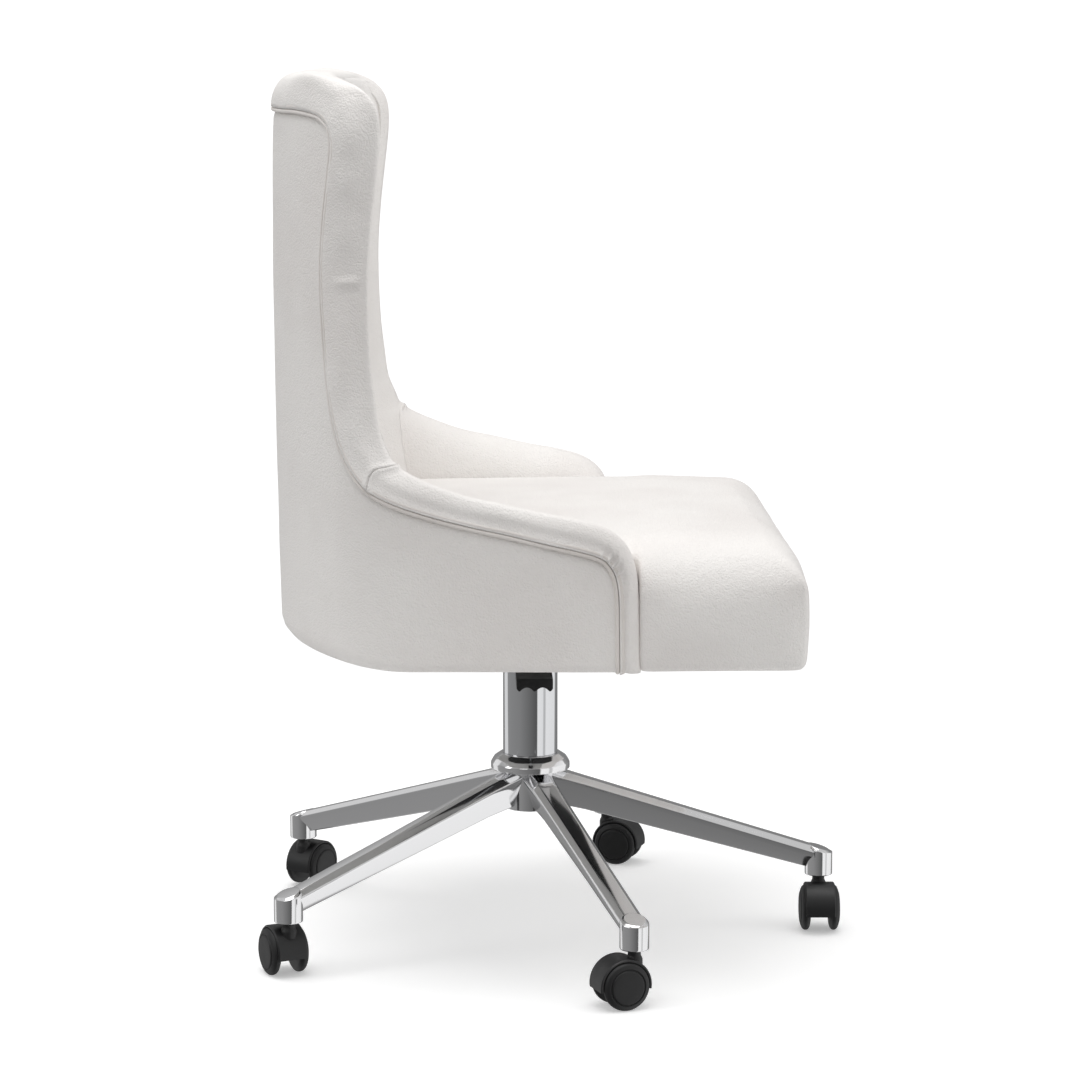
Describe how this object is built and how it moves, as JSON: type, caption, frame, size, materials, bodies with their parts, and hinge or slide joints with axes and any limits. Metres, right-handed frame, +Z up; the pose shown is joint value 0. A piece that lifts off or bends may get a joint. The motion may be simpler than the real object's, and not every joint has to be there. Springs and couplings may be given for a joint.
{
  "type": "swivel office chair",
  "caption": "Upholstered swivel desk chair: winged back flowing into low arms, thick seat cushion, chrome column, polished five-arm base on twin-wheel casters, lever for height.",
  "frame": {"origin": "on the floor, on the swivel axis of the column", "axes": "+Z up, +X the way the sitter faces, +Y towards the sitter's left hand"},
  "size_m": [0.6349, 0.662, 0.9425],
  "materials": {
    "polished_aluminium": "polished",
    "chrome": "polished",
    "black_paint": "satin",
    "steel": "satin",
    "black_nylon": "satin",
    "seal_rubber": "matte",
    "plywood": "matte",
    "white_leather": "satin",
    "padded_leather": "satin",
    "dust_cloth": "matte"
  },
  "bodies": {
    "base": {"base_star": "polished_aluminium", "caster_sockets": "black_nylon", "lift_tube": "black_paint", "thrust_race_lower": "steel", "thrust_balls": "steel", "lift_guide_bush": "black_nylon", "column_sleeve": "chrome"},
    "piston": {"piston_rod": "steel", "thrust_race_upper": "steel", "lift_retaining_clip": "steel", "lift_piston": "steel"},
    "seat": {"lift_cylinder": "black_paint", "rod_seal": "seal_rubber", "inner_column_sleeve": "chrome", "mechanism_housing": "black_paint", "seat_plate": "black_paint", "mechanism_screws": "steel", "board_t_nuts": "steel", "lever_pivot_pin": "steel", "seat_board": "plywood", "dust_cover": "dust_cloth", "seat_cushion": "padded_leather", "shell_frame": "plywood", "inner_back_pad": "padded_leather", "left_arm_pad": "padded_leather", "right_arm_pad": "padded_leather", "outer_cover": "white_leather", "back_border": "padded_leather", "left_arm_border": "padded_leather", "right_arm_border": "padded_leather", "inner_welt": "white_leather", "outer_welt": "white_leather"},
    "height_lever": {"lever_rod": "steel", "lever_paddle": "black_nylon"},
    "valve": {"valve_button": "steel"},
    "front_caster": {"front_caster_hood": "black_nylon", "front_caster_stem": "steel", "front_caster_axle": "steel"},
    "front_wheel_a": {"front_wheel_a": "black_nylon"},
    "front_wheel_b": {"front_wheel_b": "black_nylon"},
    "front_left_caster": {"front_left_caster_hood": "black_nylon", "front_left_caster_stem": "steel", "front_left_caster_axle": "steel"},
    "front_left_wheel_a": {"front_left_wheel_a": "black_nylon"},
    "front_left_wheel_b": {"front_left_wheel_b": "black_nylon"},
    "rear_left_caster": {"rear_left_caster_hood": "black_nylon", "rear_left_caster_stem": "steel", "rear_left_caster_axle": "steel"},
    "rear_left_wheel_a": {"rear_left_wheel_a": "black_nylon"},
    "rear_left_wheel_b": {"rear_left_wheel_b": "black_nylon"},
    "rear_right_caster": {"rear_right_caster_hood": "black_nylon", "rear_right_caster_stem": "steel", "rear_right_caster_axle": "steel"},
    "rear_right_wheel_a": {"rear_right_wheel_a": "black_nylon"},
    "rear_right_wheel_b": {"rear_right_wheel_b": "black_nylon"},
    "front_right_caster": {"front_right_caster_hood": "black_nylon", "front_right_caster_stem": "steel", "front_right_caster_axle": "steel"},
    "front_right_wheel_a": {"front_right_wheel_a": "black_nylon"},
    "front_right_wheel_b": {"front_right_wheel_b": "black_nylon"}
  },
  "joints": [
    {"name": "chair_swivel", "type": "hinge", "parent": "base", "child": "piston", "pos_m": [0, 0, 0.2], "axis": [0, 0, 1], "continuous": true},
    {"name": "seat_height", "type": "slide", "parent": "piston", "child": "seat", "axis": [0, 0, 1], "range_m": [0, 0.09]},
    {"name": "lever_lift", "type": "hinge", "parent": "seat", "child": "height_lever", "pos_m": [0, -0.038, 0.3275], "axis": [-1, 0, 0], "range_deg": [0, 4.5]},
    {"name": "valve_press", "type": "slide", "parent": "seat", "child": "valve", "axis": [0, 0, -1], "range_m": [0, 0.003], "stiffness_N_per_m": 400},
    {"name": "front_caster_swivel", "type": "hinge", "parent": "base", "child": "front_caster", "pos_m": [0.32, 0, 0.07], "axis": [0, 0, 1], "continuous": true},
    {"name": "front_wheel_a_spin", "type": "hinge", "parent": "front_caster", "child": "front_wheel_a", "pos_m": [0.31974, -0.015, 0.025], "axis": [0.9998, -0.0175, 0], "continuous": true},
    {"name": "front_wheel_b_spin", "type": "hinge", "parent": "front_caster", "child": "front_wheel_b", "pos_m": [0.31974, -0.015, 0.025], "axis": [0.9998, -0.0175, 0], "continuous": true},
    {"name": "front_left_caster_swivel", "type": "hinge", "parent": "base", "child": "front_left_caster", "pos_m": [0.09889, 0.30434, 0.07], "axis": [0, 0, 1], "continuous": true},
    {"name": "front_left_wheel_a_spin", "type": "hinge", "parent": "front_left_caster", "child": "front_left_wheel_a", "pos_m": [0.11298, 0.29921, 0.025], "axis": [0.342, 0.9397, 0], "continuous": true},
    {"name": "front_left_wheel_b_spin", "type": "hinge", "parent": "front_left_caster", "child": "front_left_wheel_b", "pos_m": [0.11298, 0.29921, 0.025], "axis": [0.342, 0.9397, 0], "continuous": true},
    {"name": "rear_left_caster_swivel", "type": "hinge", "parent": "base", "child": "rear_left_caster", "pos_m": [-0.25888, 0.18809, 0.07], "axis": [0, 0, 1], "continuous": true},
    {"name": "rear_left_wheel_a_spin", "type": "hinge", "parent": "rear_left_caster", "child": "rear_left_wheel_a", "pos_m": [-0.25028, 0.20038, 0.025], "axis": [-0.8192, 0.5736, 0], "continuous": true},
    {"name": "rear_left_wheel_b_spin", "type": "hinge", "parent": "rear_left_caster", "child": "rear_left_wheel_b", "pos_m": [-0.25028, 0.20038, 0.025], "axis": [-0.8192, 0.5736, 0], "continuous": true},
    {"name": "rear_right_caster_swivel", "type": "hinge", "parent": "base", "child": "rear_right_caster", "pos_m": [-0.25888, -0.18809, 0.07], "axis": [0, 0, 1], "continuous": true},
    {"name": "rear_right_wheel_a_spin", "type": "hinge", "parent": "rear_right_caster", "child": "rear_right_wheel_a", "pos_m": [-0.26522, -0.1745, 0.025], "axis": [-0.9063, -0.4226, 0], "continuous": true},
    {"name": "rear_right_wheel_b_spin", "type": "hinge", "parent": "rear_right_caster", "child": "rear_right_wheel_b", "pos_m": [-0.26522, -0.1745, 0.025], "axis": [-0.9063, -0.4226, 0], "continuous": true},
    {"name": "front_right_caster_swivel", "type": "hinge", "parent": "base", "child": "front_right_caster", "pos_m": [0.09889, -0.30434, 0.07], "axis": [0, 0, 1], "continuous": true},
    {"name": "front_right_wheel_a_spin", "type": "hinge", "parent": "front_right_caster", "child": "front_right_wheel_a", "pos_m": [0.08479, -0.30947, 0.025], "axis": [0.342, -0.9397, 0], "continuous": true},
    {"name": "front_right_wheel_b_spin", "type": "hinge", "parent": "front_right_caster", "child": "front_right_wheel_b", "pos_m": [0.08479, -0.30947, 0.025], "axis": [0.342, -0.9397, 0], "continuous": true}
  ],
  "couplings": [
    {"joint": "valve_press", "follows": "lever_lift", "m_per_rad": 0.038}
  ]
}
